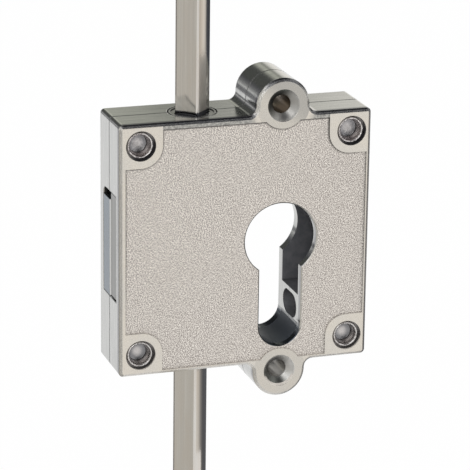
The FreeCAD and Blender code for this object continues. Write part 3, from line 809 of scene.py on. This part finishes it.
def rivet_metal():
    """Rolled nickel plate: speckled on the lip and on the cup's wall, scuffed in the cup, with
    a painted highlight in the middle, painted light on the lip's right, and a painted highlight
    round the lip's outside."""
    material, g, shader, coords = new_metal("rolled_nickel")
    x, y, z = g.axes(coords)
    lower = g.under(z, 0.0)
    across, _, reach = from_rivet(g, x, z)
    marks = g.noise(coords, 2600.0, 3.0, 0.65)
    scuff = g.noise(coords, 900.0, 4.0, 0.7)
    lip = g.mix(g.between(marks, 0.38, 0.62), (0.240, 0.215, 0.220), (0.780, 0.740, 0.720))
    wall = g.mix(g.between(marks, 0.36, 0.64), (0.250, 0.225, 0.230), (0.760, 0.700, 0.680))
    colour = g.mix(g.between_mm(y, FRONT + 0.8, FRONT + 1.3), lip, wall)

    cup = g.mix(g.between(scuff, 0.38, 0.66), (0.120, 0.112, 0.118), (0.480, 0.460, 0.460))
    # A painted highlight in the middle of each cup
    cup_highlight = g.mix(g.between_mm(reach, 1.7, 0.3), (0.200, 0.200, 0.205), (0.620, 0.590, 0.570))
    in_cup = g.product(g.between_mm(y, FRONT + 2.6, FRONT + 3.1), g.under(y, -8.0))
    colour = g.mix(in_cup, colour, cup)
    colour = g.mix(g.product(in_cup, g.total(0.55, g.product(lower, 0.25))), colour, cup_highlight)

    # The lip carries painted light on the right of each rivet, and is lighter on the two lower
    # ones
    on_lip = g.rest(in_cup)
    lit = g.between_mm(to_the_right(g, x, across), 0.2, 2.2)
    colour = g.mix(g.product(lit, on_lip, 0.6), colour, (0.740, 0.720, 0.700))
    colour = g.mix(g.product(lower, on_lip, 0.55), colour, (0.560, 0.545, 0.530))
    # Painted shade in the rivet's creases, and a painted highlight round the lip's outside
    outer_highlight = g.between_mm(reach, 2.78, 2.98)
    colour = g.shaded(colour, g.most(g.shade_creases(0.7 * MM, 0.6), outer_highlight))
    colour = g.mix(g.product(outer_highlight, 0.75), colour, (0.900, 0.870, 0.820))
    g.link(colour, shader.inputs["Base Color"])
    g.link(g.total(0.16, g.product(scuff, 0.20)), shader.inputs["Roughness"])
    strength = g.total(0.8, g.product(lower, -0.5))
    g.link(g.bump(marks, strength, RIVET_RELIEF), shader.inputs["Normal"])
    return material


# Cards on the floor: near and far radius in metres, and tones by angle
FOOT_TONES = [(32.0, (0.40, 0.40, 0.41)), (44.0, (0.30, 0.30, 0.31)),
              (50.0, (0.12, 0.125, 0.14)), (67.0, (0.12, 0.125, 0.14))]
CARDS = {
    "card_left": (0.012, 0.90, [
        (-134.0, (0.66, 0.65, 0.62)), (-120.0, (0.62, 0.61, 0.58)), (-99.0, (0.66, 0.65, 0.62)),
        (-92.0, (0.30, 0.29, 0.28)), (-84.0, (0.05, 0.05, 0.06)), (-73.0, (0.05, 0.05, 0.06)),
        (-66.0, (0.40, 0.40, 0.40)), (-30.0, (0.50, 0.50, 0.50))]),
    "card_right": (0.200, 0.90, [
        (32.0, (0.30, 0.30, 0.30)), (36.0, (0.04, 0.045, 0.06)), (64.0, (0.08, 0.085, 0.10)),
        (68.0, (0.62, 0.60, 0.58)), (76.0, (0.95, 0.91, 0.86)), (90.0, (0.78, 0.73, 0.67)),
        (101.0, (0.52, 0.48, 0.43)), (112.0, (0.60, 0.55, 0.49)), (122.0, (0.95, 0.88, 0.78))]),
    "card_low_right": (0.056, 0.200, FOOT_TONES + [
        (78.0, (0.30, 0.295, 0.29)), (88.0, (0.72, 0.69, 0.65)), (112.0, (1.00, 0.97, 0.92))]),
    "card_foot_right": (0.038, 0.056, FOOT_TONES + [(75.0, (0.30, 0.295, 0.29))]),
    "card_back": (0.60, 5.0, [(-60.0, (0.22, 0.22, 0.23)), (8.0, (0.22, 0.22, 0.23))])}

add_camera()
add_floor()
for name, card in CARDS.items():
    add_card(name, *card)
add_world()
add_softbox("key", (-0.9, -1.3, 1.1), 14.0)
add_softbox("fill", (1.1, -1.0, 0.7), 8.0)

case = plated_case()
rivet = rivet_metal()
bar = drawn_bar()
nut = turned_metal("nut_nickel", (0.36, 0.36, 0.35), (0.48, 0.48, 0.46), 0.22,
                   edge=0.12, crease_shade=1.8)
blued = turned_metal("blued_bolt", (0.175, 0.205, 0.240), (0.225, 0.262, 0.300), 0.22, 1800.0,
                     (1.0, 1.0, 0.02), edge=0.08, bevel_highlight=(0.90, 0.91, 0.92))
cast = turned_metal("bolt_casting", (0.31, 0.31, 0.30), (0.42, 0.42, 0.41), 0.30, 1200.0,
                    (1.0, 1.0, 0.05), edge=0.15)
sheet = turned_metal("punched_sheet", (0.22, 0.22, 0.23), (0.30, 0.30, 0.31), 0.30)
pin = turned_metal("turned_pin", (0.38, 0.38, 0.38), (0.50, 0.50, 0.49), 0.20)
leaf = turned_metal("tempered_leaf", (0.12, 0.13, 0.17), (0.20, 0.21, 0.25), 0.25)

# Of the nodes that aren't listed, the case rivets are rolled, and the others are pins and small
# rivets of the mechanism
LOOKS = {"front_shell": case, "rear_shell": case, "rod": bar, "upper_nut": nut, "lower_nut": nut,
         "bolt_head": blued, "bolt_block": cast, "drive_dog": cast, "rack_plate": sheet,
         "tumbler": sheet, "tumbler_spring": leaf}
for name in nodes:
    set_material(name, rivet if name.startswith("case_rivet") else LOOKS.get(name, pin))

for seed, (place, (right, up)) in enumerate(RIVET_PLACES.items(), RIVET_SEED):
    rolled_rivet("case_rivet_" + place, RIVET_MIDDLE + right * RIVET_SIDE, up * RIVET_HEIGHT,
                 seed, rivet)

faced_nut(nut)
